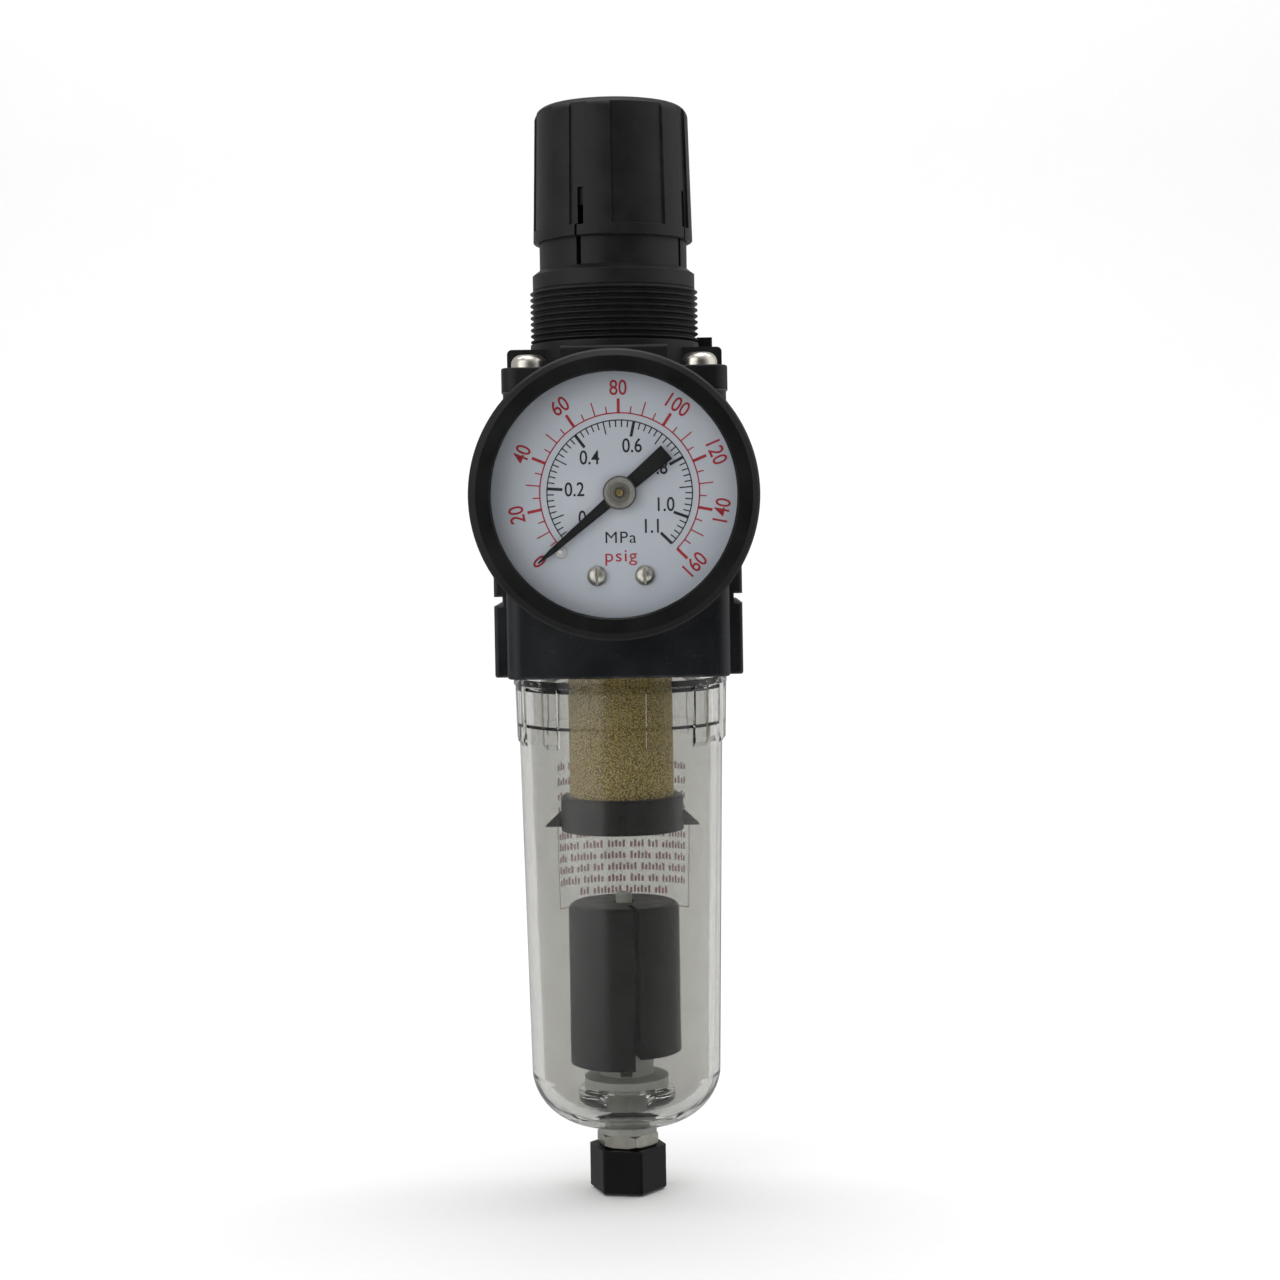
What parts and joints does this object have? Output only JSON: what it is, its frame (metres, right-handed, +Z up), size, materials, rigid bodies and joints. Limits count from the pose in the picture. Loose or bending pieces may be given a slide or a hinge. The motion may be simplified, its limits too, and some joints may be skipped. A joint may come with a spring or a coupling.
{
  "type": "compressed air filter regulator",
  "caption": "Miniature filter-regulator for compressed air: threaded bonnet and push-lock knob, front pressure gauge, clear bowl with sintered element, float drain.",
  "frame": {"origin": "on the vertical axis, on the flat seat round the foot of the bonnet's panel thread, where the unit hangs in a panel", "axes": "+Z up along the bonnet, knob and bowl axis; -Y to the front, where the gauge faces; +X from the inlet port to the outlet port"},
  "size_m": [0.043, 0.0691, 0.1815],
  "materials": {
    "black_nylon": "moulded black nylon, satin, light handling marks",
    "black_paint": "black paint on die-cast zinc, speckled, worn bright on the vertical edges",
    "nickel": "nickel-plated steel",
    "steel": "bright steel",
    "brass": "turned brass",
    "aluminium": "plain turned aluminium",
    "rubber": "black nitrile rubber",
    "sintered_bronze": "sintered bronze, open grain, about 40 microns",
    "baffle_black": "moulded black polyamide, faint mould marks",
    "bowl_clear": "clear polycarbonate, slightly smoky, glossy",
    "white_acetal": "natural white acetal, slightly translucent",
    "case_black": "satin black enamel on steel",
    "lens_clear": "clear polycarbonate",
    "dial_white": "white enamel on aluminium with printed scales",
    "pointer_black": "matt black enamel on aluminium"
  },
  "bodies": {
    "housing": {"body": "black_paint", "bonnet": "black_nylon", "bonnet_screws": "nickel", "regulating_spring": "steel", "diaphragm": "rubber", "valve_spring": "steel", "valve_guide": "white_acetal", "guide_gasket": "rubber", "rear_plug": "nickel", "deflector": "baffle_black", "filter_element": "sintered_bronze", "baffle": "baffle_black", "bowl": "bowl_clear", "bowl_seal": "rubber", "drain_body": "white_acetal", "piston_spring": "steel", "drain_seal": "rubber", "drain_washer": "white_acetal", "drain_nut": "nickel", "gauge_socket": "brass", "gauge_case": "case_black", "gauge_bezel": "case_black", "gauge_lens": "lens_clear", "lens_gasket": "rubber", "gauge_dial": "dial_white", "dial_screws": "nickel", "stop_pin": "nickel", "movement_frame": "brass", "bourdon_tube": "brass"},
    "screw": {"adjusting_screw": "steel", "screw_clip": "steel"},
    "knob": {"knob": "black_nylon"},
    "spring_nut": {"spring_nut": "brass"},
    "diaphragm_hardware": {"diaphragm_plate": "aluminium", "relief_seat": "brass"},
    "valve": {"valve_stem": "brass", "valve_disc": "rubber"},
    "float": {"float": "baffle_black"},
    "drain_piston": {"drain_piston": "white_acetal"},
    "drain_knob": {"drain_knob": "black_nylon"},
    "pointer": {"gauge_pointer": "pointer_black", "pointer_hub": "nickel", "pinion_arbor": "brass"},
    "sector": {"sector_gear": "brass"},
    "link": {"movement_link": "brass"}
  },
  "joints": [
    {"name": "knob_turn", "type": "hinge", "parent": "housing", "child": "screw", "pos_m": [0, 0, 0.015], "axis": [0, 0, -1], "range_deg": [0, 1800]},
    {"name": "knob_lock", "type": "slide", "parent": "screw", "child": "knob", "axis": [0, 0, 1], "range_m": [-0.0043, 0]},
    {"name": "nut_travel", "type": "slide", "parent": "housing", "child": "spring_nut", "axis": [0, 0, -1], "range_m": [0, 0.005], "deforming": ["regulating_spring"]},
    {"name": "diaphragm_stroke", "type": "slide", "parent": "housing", "child": "diaphragm_hardware", "axis": [0, 0, -1], "range_m": [0, 0.0012], "stiffness_N_per_m": 300, "springref_m": -0.0005, "deforming": ["diaphragm"]},
    {"name": "valve_stroke", "type": "slide", "parent": "housing", "child": "valve", "axis": [0, 0, -1], "range_m": [0, 0.0012], "deforming": ["valve_spring"]},
    {"name": "float_lift", "type": "slide", "parent": "housing", "child": "float", "axis": [0, 0, 1], "range_m": [0, 0.006]},
    {"name": "piston_stroke", "type": "slide", "parent": "housing", "child": "drain_piston", "axis": [0, 0, -1], "range_m": [0, 0.0015], "deforming": ["piston_spring"]},
    {"name": "drain_turn", "type": "hinge", "parent": "housing", "child": "drain_knob", "pos_m": [0, 0, -0.137], "axis": [0, 0, 1], "range_deg": [0, 90]},
    {"name": "pointer_turn", "type": "hinge", "parent": "housing", "child": "pointer", "pos_m": [0.0008, -0.045, -0.0242], "axis": [0, 1, 0], "range_deg": [0, 265], "stiffness_Nm_per_rad": 0.00005, "springref_deg": -2.86, "deforming": ["bourdon_tube"]},
    {"name": "sector_swing", "type": "hinge", "parent": "housing", "child": "sector", "pos_m": [0.0008, -0.04, -0.0368], "axis": [0, 1, 0], "range_deg": [-33.13, 0]},
    {"name": "link_swing", "type": "hinge", "parent": "sector", "child": "link", "pos_m": [0.00456, -0.0386, -0.03817], "axis": [0, 1, 0], "range_deg": [0, 33.13]}
  ],
  "couplings": [
    {"joint": "knob_turn", "follows": "nut_travel", "rad_per_m": 6283.2},
    {"joint": "valve_stroke", "follows": "diaphragm_stroke", "ratio": 1},
    {"joint": "piston_stroke", "follows": "float_lift", "ratio": 0.25},
    {"joint": "sector_swing", "follows": "pointer_turn", "ratio": -0.125},
    {"joint": "link_swing", "follows": "pointer_turn", "ratio": 0.125}
  ]
}
